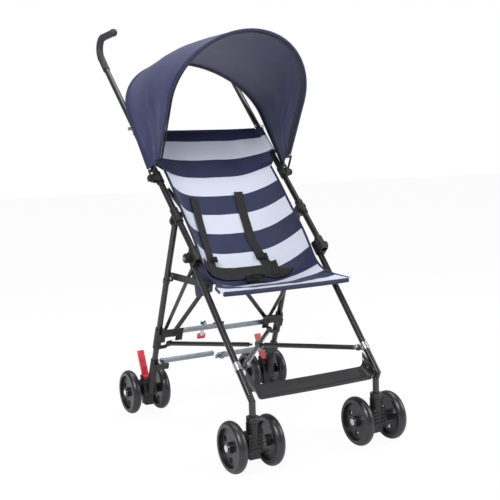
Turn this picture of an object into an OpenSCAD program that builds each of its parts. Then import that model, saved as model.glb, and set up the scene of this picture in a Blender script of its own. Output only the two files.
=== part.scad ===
/* [Wheels] */
// Outside diameter of each wheel, mm
wheel_d = 120; // [104:1:128]
// Width of each wheel across the tread, mm
wheel_w = 24; // [18:1:28]
// Diameter of the axle rods, mm
axle_d = 8; // [6:0.5:10]
// Radius of the lightening holes in a wheel, mm
wheel_hole_r = 7; // [4:0.5:9]
// Distance from the middle of a rear pair to each of its wheels, mm
rear_wheel_off = 43.5; // [38:0.5:48]
// Distance from the swivel line to each wheel of a front pair, mm
front_wheel_off = 48; // [42:0.5:52]
// Distance that the front axle trails the swivel line, mm
caster_trail = 11; // [4:1:20]

/* [Frame] */
// Distance between the front and rear axles, mm
wheelbase = 582; // [560:1:600]
// Outside diameter of the main tubes, mm
tube_d = 16; // [14:0.5:18]
// Wall of the main tubes, mm
tube_wall = 1.5; // [1:0.1:2.5]
// Outside diameter of the brace tubes, mm
brace_d = 12; // [10:0.5:12]
// Wall of the moulded joints round a tube, mm
joint_wall = 2.8; // [2:0.1:3.2]
// Length of the push tube from its lower clamp to the grip, mm
push_len = 717; // [690:1:740]
// Angle of the push tube above the horizontal, degrees
push_angle = 43.3; // [42:0.1:45]
// Distance along the push tube to the folding hub, mm
hub_at = 138; // [130:1:150]
// Distance along the push tube to the canopy clamp, mm
canopy_clamp_at = 275; // [262:1:290]
// Distance along the push tube to the seat pin, mm
seat_pin_at = 452; // [430:1:470]
// Height of the lower clamp above the floor, mm
clamp_z = 468; // [462:1:474]

/* [Braces] */
// Thickness of the flat side links, mm
link_t = 3; // [2:0.1:3]
// Height of the flat side links, mm
link_h = 18; // [12:1:22]
// Height of the folding bars, mm
bar_h = 11; // [8:1:12]
// Thickness of the folding bars, mm
bar_t = 9; // [6:0.5:9.5]
// Length of the foot lever, mm
pedal_len = 52; // [40:1:56]

/* [Seat] */
// Thickness of the seat cloth and its stiffening, mm
seat_t = 6; // [4:0.5:8]
// Width of the harness straps, mm
strap_w = 25; // [18:1:30]
// Thickness of the harness straps, mm
strap_t = 2; // [1.5:0.1:3]
// Thickness of the footrest, mm
foot_t = 3; // [2:0.1:4]

/* [Canopy] */
// Height of the front bow above its pivot, mm
front_bow_h = 413; // [380:1:430]
// Height of the rear bow above its pivot, mm
rear_bow_h = 420; // [390:1:430]
// Forward lean of the front bow, degrees
front_bow_lean = 27; // [20:1:34]
// Backward lean of the rear bow, degrees
rear_bow_lean = 39; // [34:1:40]
// Thickness of the canopy cloth and its lining, mm
canopy_t = 3; // [2:0.5:4]
// Width of the canopy bows, mm
bow_w = 6; // [5:0.5:6.5]
// Thickness of the canopy bows, mm
bow_t = 2.5; // [2:0.1:3]

/* [Handles] */
// Diameter of the rubber grips, mm
grip_d = 20; // [19.5:0.1:22]
// Radius of the bend of the grips, mm
grip_bend_r = 33; // [28:1:38]
// Diameter of the ball at the end of a grip, mm
ball_d = 22; // [21:0.5:26]

/* [Brakes] */
// Length of a brake lever, mm
brake_len = 76; // [66:1:82]
// Width of a brake lever, mm
brake_w = 18; // [12:1:20]

/* [Hidden] */
$fn = 48;
wheel_r = wheel_d / 2;
tube_r = tube_d / 2;
brace_r = brace_d / 2;
axle_r = axle_d / 2;
joint_r = tube_r + joint_wall;
// Radial clearance of running fits, and of parts that only pass each other
run = 0.05;
gap = 0.4;
pin_r = 3;
eye_r = 8;
eps = 0.01;

// Side frame, right-hand side, with y = 0 midway between the axles
front_axle = [173, -wheelbase / 2, wheel_r];
rear_axle = [190, wheelbase / 2, wheel_r];
stem_y = front_axle.y - caster_trail;
push_lo = [183.5, -60, clamp_z];
push_splay = 13.5;
push_dir = [push_splay / push_len, cos(push_angle), sin(push_angle)];
push_n = [0, sin(push_angle), -cos(push_angle)];
function on_push(s) = push_lo + s * push_dir;
push_hi = on_push(push_len);
leg_top = [184, -32, clamp_z - 3.5];
leg_bend = [179, stem_y, 175];
function front_leg_x(z) = leg_bend.x + (leg_top.x - leg_bend.x) * (z - leg_bend.z) / (leg_top.z - leg_bend.z);
stem_top = [173, stem_y, 160];
stem_foot = [173, stem_y, wheel_r + 18];
collar_z = wheel_r + 52;
collar_h = 14;
stem_r = 6;
bend_swell = 0.3;
hub_drop = 2 * tube_r + 3;
hub_pt = on_push(hub_at) + hub_drop * push_n;
leg_x = 184;
leg_eye_r = tube_r + 1;
pivot_h = [leg_x, hub_pt.y, hub_pt.z];
leg_foot = [190, 247, wheel_r + 18];
leg_len = norm(leg_foot - pivot_h);
leg_angle = atan2(leg_foot.y - pivot_h.y, pivot_h.z - leg_foot.z);
leg_down = [0, sin(leg_angle), -cos(leg_angle)];
leg_back = [0, cos(leg_angle), sin(leg_angle)];
// A point given by its x, its distance below the hub pivot and its offset behind the rear legs
function leg_pt(x, v, n) = [x, pivot_h.y, pivot_h.z] + v * leg_down + n * leg_back;
leg_slope_x = (leg_foot.x - pivot_h.x) / leg_len;
function leg_x_at(v) = pivot_h.x + leg_slope_x * v;
brake_at = [0, rear_axle.y - 10, wheel_r + 38];
knot_v = 338;
tube_v = knot_v + 4;
low_v = 434;
plate_n = -21;
plate_t = 4;
layer = [-4, 8];
back_off = 8.5;
upper_x = 136;
plate_in = upper_x - 10;
lever_off = 16;
lower_x = 162;
side_tube_x = 164;
cheek_t = 2.6;
link_clear = 0.6;
link_x = leg_x - max(joint_r, tube_r + gap + cheek_t) - link_clear - link_t;
link_z = 400;
link_front = [link_x, -94, link_z];
link_rear_y = 118;
side_lo = [side_tube_x, leg_pt(0, tube_v, 14).y, leg_pt(0, tube_v, 14).z];
side_hi = [side_tube_x, -11, clamp_z - 21];
back_lo = [150, 0, 0];
back_top_y = 118;
back_top_z = 635;
back_drop = 14;
back_end_x = 165;
arm_front = [160, -249, 230];
arm_rear = [158, 184, 206];
arm_mid = [0, -32, 220];
front_cut = 17;
rear_cut = 28;
boss_r = 5;
pin_front = [0.938, 0.076, -0.338];
pin_rear = [-0.711, -0.334, 0.619];
pin_back = [0.352, 0.936, -0.015];
canopy_x = 203;
canopy_pivot = on_push(canopy_clamp_at);
front_half = 198;
rear_half = 208;
front_over = 0.5;
rear_over = 0.3;
// Room between a bow and the cloth that slopes down over it towards the other bow
function bow_room(h, over) = 1 + (bow_w / 2 + h * sin(over)) * tan((front_bow_lean + rear_bow_lean) / 2);
front_knee = 49;
rear_knee = 24;
grip_straight = 54;
grip_bead = 3;
reach_back = on_push(push_len).y + grip_straight * cos(push_angle) - grip_bend_r * sin(push_angle)
    + grip_bend_r + grip_d / 2;
reach_front = front_axle.y - wheel_r;
mid_y = (reach_back + reach_front) / 2;

module place() {
    translate([0, -mid_y, 0])
        children();
}

module right() {
    place()
        children();
}

module left() {
    place()
        mirror([1, 0, 0])
            children();
}

// Turns the z axis to the direction v
module aim(v) {
    rotate([0, acos(v.z / norm(v)), atan2(v.y, v.x)])
        children();
}

module rod(p, q, r) {
    translate(p)
        aim(q - p)
            cylinder(h = norm(q - p), r = r);
}

module pipe(p, q, r, wall) {
    translate(p)
        aim(q - p)
            difference() {
                cylinder(h = norm(q - p), r = r);
                translate([0, 0, -1])
                    cylinder(h = norm(q - p) + 2, r = r - wall);
            }
}

// Ring of length len round the line from p to q, centred at distance s from p
module ring(p, q, s, len, r_in, r_out) {
    translate(p)
        aim(q - p)
            translate([0, 0, s - len / 2])
                difference() {
                    cylinder(h = len, r = r_out);
                    translate([0, 0, -1])
                        cylinder(h = len + 2, r = r_in);
                }
}

// Block in the rear leg's own frame: x across, y behind the leg, z up along it
module in_leg(x, v, n) {
    translate(leg_pt(x, v, n))
        rotate([leg_angle, 0, 0])
            children();
}

module box(size) {
    translate(-size / 2)
        cube(size);
}

// Ball end of a brace on a slanting pin
module ball_eye(p, u) {
    translate(p)
        difference() {
            sphere(r = eye_r);
            aim(u)
                translate([0, 0, -2 * eye_r])
                    cylinder(h = 4 * eye_r, r = pin_r + run);
        }
}

// Pin through a ball end, with a boss on the side towards u and a head on the other
module ball_pin(p, u, from, reach) {
    un = u / norm(u);
    rod(p - un * (eye_r + 1.4), p + un * reach, pin_r);
    rod(p + un * from, p + un * reach, boss_r);
    rod(p - un * (eye_r + 2.6), p - un * (eye_r + gap), boss_r);
}

// Room cut in a brace tube for the pin, its head and its boss
module pin_room(p, u) {
    translate(p)
        aim(u) {
            translate([0, 0, -2 * eye_r])
                cylinder(h = 4 * eye_r, r = pin_r + run);
            for (side = [-1, 1])
                translate([0, 0, side * 2 * eye_r])
                    cylinder(h = 2 * eye_r, r = boss_r + gap, center = true);
        }
}

module push_tube() {
    color("dimgray")
        pipe(on_push(-12), on_push(push_len + 42), tube_r, tube_wall);
}

module grip() {
    straight = grip_straight;
    bend = 180 - push_angle - 3;
    tip = 84;
    color("slategray")
        translate(push_hi)
            rotate([0, 0, 90])
                rotate([0, -push_angle, 0]) {
                    difference() {
                        rotate([0, 90, 0])
                            cylinder(h = straight, r = grip_d / 2);
                        rotate([0, 0, -atan(push_splay / push_len)])
                            translate([-1, 0, 0])
                                rotate([0, 90, 0])
                                    cylinder(h = 45, r = tube_r + gap);
                    }
                    translate([straight - grip_bead / 2, 0, 0])
                        rotate([0, 90, 0])
                            cylinder(h = grip_bead, r = grip_d / 2 + 0.6);
                    translate([straight, 0, grip_bend_r])
                        rotate([90, 0, 0])
                            rotate([0, 0, -90])
                                rotate_extrude(angle = bend)
                                    translate([grip_bend_r, 0])
                                        circle(r = grip_d / 2);
                    translate([straight, 0, grip_bend_r])
                        rotate([0, -bend, 0])
                            translate([0, 0, -grip_bend_r])
                                rotate([0, 90, 0]) {
                                    cylinder(h = tip, r = grip_d / 2);
                                    translate([0, 0, -grip_bead / 2])
                                        cylinder(h = grip_bead, r = grip_d / 2 + 0.6);
                                    translate([0, 0, tip])
                                        sphere(r = ball_d / 2);
                                }
                }
}

// Moulded hub on the push tube that carries the rear leg's pivot
module hub() {
    cheek_in = tube_r;
    eye = tube_r + 2;
    color("black") {
        difference() {
            ring(push_lo, push_hi, hub_at, 44, tube_r + run, joint_r);
            translate(pivot_h)
                rotate([0, 90, 0])
                    cylinder(h = 2 * (cheek_in + gap), r = leg_eye_r + gap + 0.3, center = true);
        }
        for (side = [-1, 1])
            difference() {
                hull() {
                    translate([leg_x + side * (cheek_in + gap + cheek_t / 2), pivot_h.y, pivot_h.z])
                        rotate([0, 90, 0])
                            cylinder(h = cheek_t, r = eye + 1, center = true, $fn = 32);
                    translate([leg_x + side * (cheek_in + gap + cheek_t / 2), 0, 0])
                        translate([0, on_push(hub_at).y, on_push(hub_at).z])
                            rotate([0, 90, 0])
                                cylinder(h = cheek_t, r = eye, center = true, $fn = 32);
                }
                rod(on_push(hub_at - 50), on_push(hub_at + 50), tube_r + run);
            }
    }
    color("silver") {
        rod(pivot_h - [cheek_in + 2, 0, 0], pivot_h + [cheek_in + 6, 0, 0], pin_r);
        translate(pivot_h + [cheek_in + gap + cheek_t, 0, 0])
            rotate([0, 90, 0])
                cylinder(h = 3, r = 7);
    }
}

// Moulded clamp that joins the push tube's foot to the top of the front leg
module lower_clamp() {
    leg_d = (leg_top - leg_bend) / norm(leg_top - leg_bend);
    color("black")
        difference() {
            union() {
                rod(on_push(-16), on_push(26), joint_r);
                rod(leg_top - 26 * leg_d, leg_top + 10 * leg_d, joint_r);
                translate([leg_x, (on_push(2).y + leg_top.y) / 2 - 3, clamp_z - 6])
                    rotate([push_angle, 0, 0])
                        box([2 * joint_r - 2, 40, 18]);
                translate([leg_x + 8, -44, clamp_z - 4])
                    rotate([0, 90, 0])
                        cylinder(h = 14, r = 12);
            }
            rod(on_push(-20), on_push(60), tube_r + run);
            rod(leg_top - 60 * leg_d, leg_top + 4 * leg_d, tube_r + run);
        }
    color("silver")
        translate([leg_x + 22, -44, clamp_z - 4])
            rotate([0, 90, 0])
                cylinder(h = 2, r = 4);
}

module front_leg() {
    color("dimgray") {
        difference() {
            union() {
                rod(leg_top, leg_bend, tube_r);
                translate(leg_bend)
                    sphere(r = tube_r + bend_swell);
                rod(leg_bend, stem_top, tube_r);
                translate(stem_top)
                    sphere(r = tube_r + bend_swell);
                rod(stem_top, [stem_top.x, stem_y, collar_z + collar_h - 2], tube_r);
            }
            rod(leg_top + (leg_top - leg_bend) / 100, leg_bend, tube_r - tube_wall);
        }
        rod([stem_top.x, stem_y, collar_z + collar_h], stem_foot, stem_r);
        translate([stem_top.x, stem_y, collar_z])
            difference() {
                cylinder(h = collar_h, r = 15);
                translate([0, 0, -1])
                    cylinder(h = collar_h + 2, r = stem_r - 1);
                for (a = [0:20:340])
                    rotate([0, 0, a])
                        translate([16, 0, -1])
                            cylinder(h = collar_h - 2, r = 2.2, $fn = 16);
            }
    }
}

// Clamp on the push tube with the outboard pivot of the canopy
module canopy_clamp() {
    p = on_push(canopy_clamp_at);
    color("black") {
        ring(push_lo, push_hi, canopy_clamp_at, 34, tube_r + run, joint_r);
        difference() {
            translate([canopy_x - 6.5, p.y, p.z])
                rotate([0, 90, 0])
                    cylinder(h = 6, r = 13);
            rod(on_push(canopy_clamp_at - 40), on_push(canopy_clamp_at + 40), tube_r + run);
        }
        rod([canopy_x - 2, p.y, p.z], [canopy_x + 10, p.y, p.z], pin_r + 1);
        rod([canopy_x + 10, p.y, p.z], [canopy_x + 13, p.y, p.z], 9);
    }
}

module seat_pin() {
    color("silver")
        ring(push_lo, push_hi, seat_pin_at + 14, 7, tube_r + run, tube_r + 1.8);
    color("black")
        translate(on_push(seat_pin_at + 14))
            rotate([0, 90, 0])
                translate([0, 0, tube_r + 0.5])
                    cylinder(h = 9, r = 4.5);
}

// Steel band on the front leg with the slanting pin of the front brace arm
module front_bracket() {
    u = pin_front / norm(pin_front);
    s = (leg_bend.z - arm_front.z) / (leg_bend.z - leg_top.z);
    color("silver") {
        ring(leg_bend, leg_top, norm(leg_top - leg_bend) * s, 20, tube_r + run, tube_r + 1.6);
        difference() {
            ball_pin(arm_front, u, eye_r + gap, 15);
            rod(leg_bend, leg_top, tube_r + run);
        }
    }
}

module brace_arm(p, u, cut) {
    d = (arm_mid - p) / norm(arm_mid - p);
    end = arm_mid - cut * d;
    color("dimgray") {
        ball_eye(p, u);
        difference() {
            rod(p, end, brace_r);
            pin_room(p, u);
        }
    }
}

module front_arm() {
    brace_arm(arm_front, pin_front, front_cut);
}

// The right front arm also carries the middle joint
module front_arm_right() {
    d = (arm_mid - arm_front) / norm(arm_mid - arm_front);
    front_arm();
    color("silver") {
        rod(arm_mid - (front_cut + 1) * d, arm_mid, 4);
        translate(arm_mid - [0, 0, 7])
            cylinder(h = 14, r = 10);
    }
}

module rear_arm() {
    d = (arm_mid - arm_rear) / norm(arm_mid - arm_rear);
    brace_arm(arm_rear, pin_rear, rear_cut);
    color("silver")
        rod(arm_mid - (rear_cut + 1) * d, arm_mid - 19 * d, 3);
}

// Swivelling fork of a front wheel pair
module caster() {
    top = collar_z - gap;
    color("black")
        difference() {
            union() {
                translate([front_axle.x, stem_y, wheel_r + 2])
                    cylinder(h = top - wheel_r - 2, r = 16);
                translate([front_axle.x, stem_y + 3, wheel_r + 6])
                    box([36, 34, 46]);
                translate([front_axle.x, stem_y + 4, wheel_r - 17])
                    box([26, 26, 30]);
                translate([front_axle.x - 26, front_axle.y, wheel_r])
                    rotate([0, 90, 0])
                        cylinder(h = 52, r = 12);
                for (i = [0:3])
                    translate([front_axle.x, stem_y - 14.5, wheel_r - 8 + i * 9])
                        box([30, 4, 3]);
            }
            translate([front_axle.x, stem_y, stem_foot.z - gap])
                cylinder(h = 90, r = stem_r + run);
            rod(front_axle - [60, 0, 0], front_axle + [60, 0, 0], axle_r + run);
        }
}

module axle(c, off) {
    reach = off + wheel_w / 2 + 2;
    color("silver") {
        rod(c - [reach, 0, 0], c + [reach, 0, 0], axle_r);
        for (side = [-1, 1])
            translate(c + [side * (reach + 1), 0, 0])
                rotate([0, 90, 0])
                    cylinder(h = 2.4, r = axle_r + 4, center = true);
    }
}

module wheel(c) {
    half = wheel_w / 2;
    rim_r = wheel_r - 14;
    hub_r = axle_r + 9;
    web = 4;
    color("dimgray")
        translate(c)
            rotate([0, 90, 0])
                difference() {
                    rotate_extrude($fn = 96)
                        difference() {
                            union() {
                                translate([axle_r + run, -half - 1])
                                    square([hub_r - axle_r - run, 2 * half + 2]);
                                translate([axle_r + run, -web])
                                    square([rim_r - axle_r, 2 * web]);
                                translate([rim_r, -half + 2])
                                    square([wheel_r - 10 - rim_r + eps, 2 * half - 4]);
                                intersection() {
                                    translate([wheel_r - half * 1.2, 0])
                                        circle(r = half * 1.2);
                                    translate([wheel_r - 14, -half])
                                        square([20, 2 * half]);
                                }
                            }
                        }
                    for (a = [0, 120, 240])
                        rotate([0, 0, a])
                            translate([(rim_r + hub_r) / 2, 0, -20])
                                cylinder(h = 40, r = wheel_hole_r);
                }
}

module rear_leg() {
    color("dimgray") {
        difference() {
            union() {
                rod(pivot_h, leg_foot, tube_r);
                translate(pivot_h)
                    rotate([0, 90, 0])
                        cylinder(h = 2 * tube_r - 1, r = leg_eye_r, center = true);
            }
            translate(pivot_h)
                rotate([0, 90, 0])
                    cylinder(h = 4 * tube_r, r = pin_r + run, center = true);
            rod(pivot_h + 20 * leg_down, leg_foot + 2 * leg_down, tube_r - tube_wall);
        }
    }
}

// Moulded foot of a rear leg, with the axle's seat and the lower bar's ear
module rear_housing() {
    lx = leg_x_at(low_v);
    ax = rear_axle;
    color("black")
        difference() {
            union() {
                rod([leg_x_at(low_v - 14), 0, 0] + leg_pt(0, low_v - 14, 0), leg_foot + [0, 4, -14], joint_r);
                translate([ax.x, ax.y - 20, wheel_r + 11])
                    box([36, 44, 38]);
                translate([ax.x - 28, ax.y, wheel_r])
                    rotate([0, 90, 0])
                        cylinder(h = 56, r = 13);
                translate([ax.x, ax.y - 18, wheel_r - 18])
                    box([22, 30, 36]);
                in_leg((lx + 156) / 2, low_v, plate_n + 3.5)
                    box([lx - 152, 7, 16]);
                in_leg(lx - 3, low_v, plate_n + 8)
                    box([14, 14, 16]);
                for (side = [-1, 1])
                    translate([ax.x + side * (brake_w / 2 + 2.4), brake_at.y, brake_at.z - 3])
                        box([3, 16, 20]);
            }
            rod(pivot_h, leg_foot, tube_r + run);
            rod(ax - [60, 0, 0], ax + [60, 0, 0], axle_r + run);
            translate([ax.x, brake_at.y, brake_at.z])
                rotate([0, 90, 0])
                    cylinder(h = 60, r = pin_r - 1 + run, center = true);
        }
}

module rear_ear_pin(k) {
    color("silver")
        in_leg(lower_x, low_v, 0)
            translate([0, plate_n + 4, 0])
                rotate([-90, 0, 0]) {
                    cylinder(h = layer[k] - plate_n + 2.5, r = pin_r);
                    translate([0, 0, layer[k] - plate_n - 4 + bar_t / 2 + gap])
                        cylinder(h = 2, r = 5);
                }
}

module brake_lever() {
    p = [rear_axle.x, brake_at.y, brake_at.z];
    color("red")
        translate(p)
            rotate([-25, 0, 0]) {
                rotate([0, 90, 0])
                    cylinder(h = brake_w, r = 6.5, center = true);
                translate([0, 0, brake_len / 2])
                    box([brake_w, 8, brake_len]);
            }
    color("red")
        translate(p)
            rotate([0, 90, 0])
                cylinder(h = brake_w + 7, r = pin_r - 1, center = true);
}

// Bracket on the rear leg's inner side that the braces and the upper bar pivot on
module rear_bracket(k) {
    off = (k == 0) ? back_off : -back_off;
    bl = leg_pt(150, knot_v, off);
    ub = -pin_back / norm(pin_back);
    ur = -pin_rear / norm(pin_rear);
    lx = leg_x_at(knot_v);
    plate_back = plate_n + plate_t;
    color("black")
        difference() {
            union() {
                rod([leg_x_at(knot_v - 18), 0, 0] + leg_pt(0, knot_v - 18, 0),
                    [leg_x_at(knot_v + 44), 0, 0] + leg_pt(0, knot_v + 44, 0), joint_r);
                in_leg(0, knot_v, plate_n + plate_t)
                    rotate([90, 0, 0])
                        linear_extrude(plate_t)
                            polygon([[plate_in, 22], [lx, 22], [lx, 0], [plate_in + 19, 0], [plate_in + 19, -14],
                                [plate_in, -14]]);
                in_leg(lx - 4, knot_v + 4, plate_n + 8)
                    box([16, 14, 24]);
                rod(leg_pt(lx, tube_v, 14), leg_pt(side_tube_x + 5 + gap, tube_v, 14), 6);
                rod(arm_rear + 13 * ur, leg_pt(lx - 2, knot_v + 40, -6), boss_r);
            }
            rod(pivot_h, leg_foot, tube_r + run);
        }
    color("silver") {
        rod(leg_pt(lx - 9, tube_v, 14), leg_pt(side_tube_x - 6.4, tube_v, 14), pin_r);
        rod(leg_pt(side_tube_x - 6.4, tube_v, 14), leg_pt(side_tube_x - 5 - gap, tube_v, 14), pin_r + 0.8);
        ball_pin(arm_rear, ur, eye_r + gap, 13.5);
        rod(bl + ub * (eye_r + 1.5), bl + ub * (off - plate_n + 1) / 0.87, boss_r);
        rod(bl - ub * (eye_r + 1.4), bl + ub * (eye_r + 3), pin_r);
        rod(bl - ub * (eye_r + 2.6), bl - ub * (eye_r + gap), boss_r);
        in_leg(upper_x, knot_v + 4, 0)
            translate([0, plate_back - 1, 0])
                rotate([-90, 0, 0]) {
                    cylinder(h = layer[k] - plate_back + 1 + bar_t / 2 + 1, r = pin_r);
                    translate([0, 0, layer[k] - plate_back + 1 + bar_t / 2 + gap])
                        cylinder(h = 2, r = 5);
                }
    }
}

// Back tube that rises from a rear leg to the opposite push tube; k sets the side of the crossing
module back_tube(k) {
    off = (k == 0) ? back_off : -back_off;
    lo = leg_pt(150, knot_v, off);
    top = [-back_end_x, back_top_y, back_top_z] + back_drop * push_n + off * [0, 0.987, 0.163];
    color("dimgray") {
        ball_eye(lo, pin_back);
        difference() {
            rod(lo, top, brace_r);
            pin_room(lo, pin_back);
        }
    }
}

module side_tube() {
    color("dimgray")
        difference() {
            union() {
                rod(side_lo, side_hi, 5);
                translate(side_lo)
                    rotate([0, 90, 0])
                        cylinder(h = 10, r = eye_r, center = true);
            }
            translate(side_lo)
                rotate([0, 90, 0])
                    cylinder(h = 20, r = pin_r + run, center = true);
        }
}

module side_link() {
    color("black")
        difference() {
            union() {
                translate([link_x, link_front.y, link_z - link_h / 2])
                    cube([link_t, link_rear_y - link_front.y, link_h]);
                translate(link_front)
                    rotate([0, 90, 0])
                        cylinder(h = link_t, r = link_h / 2);
                translate([link_x, link_rear_y, link_z])
                    rotate([0, 90, 0])
                        cylinder(h = link_t, r = link_h / 2);
            }
            translate(link_front - [5, 0, 0])
                rotate([0, 90, 0])
                    cylinder(h = 20, r = pin_r + run);
            translate([link_x - 5, link_rear_y, link_z])
                rotate([0, 90, 0])
                    cylinder(h = 20, r = pin_r + 1);
        }
}

module bar_half(x0, v0, k) {
    lap = 4;
    color("silver")
        difference() {
            union() {
                in_leg((x0 + lap) / 2, v0, layer[k])
                    box([x0 - lap, bar_t, bar_h]);
                in_leg(x0, v0, layer[k])
                    rotate([90, 0, 0])
                        cylinder(h = bar_t, r = eye_r - 1, center = true);
            }
            in_leg(x0, v0, layer[k])
                rotate([90, 0, 0])
                    cylinder(h = 2 * bar_t, r = pin_r + run, center = true);
        }
}

// Middle joint of the upper bar, on its left half
module upper_middle() {
    color("black")
        in_leg(0, knot_v + 4, layer[1] + bar_t / 2 + 1)
            box([34, 3, bar_h + 5]);
}

// Curved hook and middle plate of the lower bar, on its right half
module lower_middle() {
    color("black") {
        in_leg(12, low_v, layer[0] - bar_t / 2 - 5)
            box([12, 12, 7]);
        in_leg(12, low_v - 8, layer[0] - bar_t / 2 - 9)
            rotate([18, 0, 0])
                box([9, 5, 26]);
    }
    color("silver")
        in_leg(17, low_v, layer[0] - bar_t / 2 - 0.6)
            box([44, 2, bar_h + 2]);
}

module foot_lever() {
    n = layer[1] + bar_t / 2 + lever_off;
    x = 40;
    color("gray") {
        in_leg(x, knot_v + 4, n)
            rotate([90, 0, 0])
                difference() {
                    cylinder(h = 5, r = 9, center = true);
                    cylinder(h = 9, r = pin_r + run, center = true);
                }
        in_leg(x, knot_v + 9 + (pedal_len - 18) / 2, n)
            box([11, 5, pedal_len - 18]);
    }
    color("red")
        in_leg(x, knot_v + 4 + pedal_len - 10, n + 1)
            box([22, 7, 14]);
}

module foot_lever_pin() {
    n = layer[1] + bar_t / 2;
    color("silver")
        in_leg(40, knot_v + 4, n - 1)
            rotate([-90, 0, 0]) {
                cylinder(h = lever_off + 5.4, r = pin_r);
                cylinder(h = lever_off - 3, r = pin_r + 3);
                translate([0, 0, lever_off + 3.9])
                    cylinder(h = 2, r = pin_r + 2);
            }
}

// Pin of a side link on the front leg
module link_pin() {
    x_leg = front_leg_x(link_z);
    color("silver") {
        rod([x_leg, link_front.y, link_z], [link_x - 1.5, link_front.y, link_z], pin_r);
        rod([link_x - 1.7, link_front.y, link_z], [link_x - gap, link_front.y, link_z], 5);
        rod([x_leg, link_front.y, link_z], [link_x + link_t + gap, link_front.y, link_z], 5);
    }
}

// Peg on the rear leg that carries the side link's rear end
module link_peg() {
    v = (pivot_h.z - link_z + link_h / 2 + pin_r + gap) / cos(leg_angle);
    p = leg_pt(0, v, 0);
    color("silver") {
        rod([leg_x_at(v) - tube_r - 0.5, p.y, p.z], [link_x - 1, p.y, p.z], pin_r);
        ring(pivot_h, leg_foot, v, 12, tube_r - 0.5, tube_r + 1.5);
    }
}

// Seat: one sling of cloth that hangs between the push tubes and runs forward to the front hem.
// Each row of the back: distance along the push tube, drop of the middle and of the edges behind it
back_rows = [[455, 4, 0], [424, 9, 0], [390, 20, 0], [352, 30, 0], [324, 37, 0], [300, 42, 0],
    [258, 52, 0], [213, 62, 2], [162, 73, 6], [112, 84, 8], [62, 96, 11], [20, 107, 18], [-16, 116, 25]];
// Each row of the seat: y and z of the middle, then y and z of the edges
// and the half width beyond the seat's own
pan_rows = [[-18, 374, -76, 421, 0], [-58, 379, -96, 412, 0], [-100, 384, -122, 404, 2],
    [-145, 388, -147, 397, 21], [-186, 391, -186, 393, 31]];
seat_step_s = 322;
sleeve_lo = 352;
sleeve_hi = 452;
sleeve_t = 1.4;
seat_room = 14.4;
seat_hw_low = link_x - seat_room;
seat_hw_mid = seat_hw_low + 3;
sag_power = 2.2;
back_n = len(back_rows);
row_n = back_n + len(pan_rows);
function behind(s, n) = [push_lo.y, push_lo.z] + s * [cos(push_angle), sin(push_angle)]
    + n * [sin(push_angle), -cos(push_angle)];
function row_mid(i) = i < back_n ? behind(back_rows[i][0], back_rows[i][1])
    : [pan_rows[i - back_n][0], pan_rows[i - back_n][1]];
function row_edge(i) = i < back_n ? behind(back_rows[i][0], back_rows[i][2])
    : [pan_rows[i - back_n][2], pan_rows[i - back_n][3]];
function row_hw(i) = i >= back_n ? seat_hw_low + pan_rows[i - back_n][4]
    : back_rows[i][0] > seat_step_s ? on_push(back_rows[i][0]).x - tube_r - gap - 0.8
    : lerp1(seat_hw_low, seat_hw_mid, max(0, back_rows[i][0] / seat_step_s));
function lerp1(a, b, t) = a + (b - a) * t;
// Unit normal of a row's middle line, to the side that the child sits on
function row_n_up(i) =
    let(j = min(i + 1, row_n - 1), k = max(i - 1, 0), d = row_mid(j) - row_mid(k))
        [d.y, -d.x] / norm(d);
function sag(x, i) = 1 - pow(min(1, abs(x) / row_hw(i)), sag_power);
function on_seat(x, i, up) =
    let(e = row_edge(i), p = e + (row_mid(i) - e) * sag(x, i) + up * row_n_up(i))
        [x, p.x, p.y];
// The same at a place between two rows
function at_seat(x, a, up) =
    let(i = min(floor(a), row_n - 2), f = a - i, p = on_seat(x, i, up), q = on_seat(x, i + 1, up))
        p + (q - p) * f;

// Closed shell from two grids of points, the top one first
module shell(top, bottom) {
    rows = len(top);
    cols = len(top[0]);
    per = rows * cols;
    pts = [for (g = [top, bottom]) for (r = g) for (p = r) p];
    skin = [for (s = [0, 1]) for (j = [0:rows - 2]) for (i = [0:cols - 2])
        let(a = s * per + j * cols + i)
            s == 0 ? [a, a + 1, a + cols + 1, a + cols] : [a, a + cols, a + cols + 1, a + 1]];
    ends = [for (i = [0:cols - 2]) for (j = [0, rows - 1])
        let(a = j * cols + i)
            j == 0 ? [a, per + a, per + a + 1, a + 1] : [a, a + 1, per + a + 1, per + a]];
    sides = [for (j = [0:rows - 2]) for (i = [0, cols - 1])
        let(a = j * cols + i)
            i == 0 ? [a, a + cols, per + a + cols, per + a] : [a, per + a, per + a + cols, a + cols]];
    polyhedron(points = pts, faces = concat(skin, ends, sides), convexity = 6);
}

seat_cols = 16;
module seat() {
    color("navy") {
        shell([for (i = [0:row_n - 1]) [for (c = [0:seat_cols])
                on_seat(lerp1(-1, 1, c / seat_cols) * row_hw(i), i, seat_t / 2)]],
            [for (i = [0:row_n - 1]) [for (c = [0:seat_cols])
                on_seat(lerp1(-1, 1, c / seat_cols) * row_hw(i), i, -seat_t / 2)]]);
        for (side = [0, 1])
            mirror([side, 0, 0]) {
                ring(push_lo, push_hi, (sleeve_lo + sleeve_hi) / 2, sleeve_hi - sleeve_lo,
                    tube_r + gap, tube_r + gap + sleeve_t);
                translate([seat_hw_low - 4, 0, 0])
                    rotate([90, 0, 90])
                        linear_extrude(3)
                            polygon(concat([for (i = [back_n - 2:back_n + 1]) row_edge(i)],
                                [for (i = [back_n + 1:-1:back_n - 2]) row_mid(i)]));
            }
    }
}

// Harness: two shoulder straps, a waist strap and a crotch strap, laid on the seat cloth
strap_lift = seat_t / 2 + 1;
module strap(a0, a1, x0, x1, n) {
    half = strap_w / 2;
    shell([for (k = [0:n]) [for (h = [-half, half])
            at_seat(lerp1(x0, x1, k / n) + h, lerp1(a0, a1, k / n), strap_lift + strap_t)]],
        [for (k = [0:n]) [for (h = [-half, half])
            at_seat(lerp1(x0, x1, k / n) + h, lerp1(a0, a1, k / n), strap_lift)]]);
}

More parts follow.
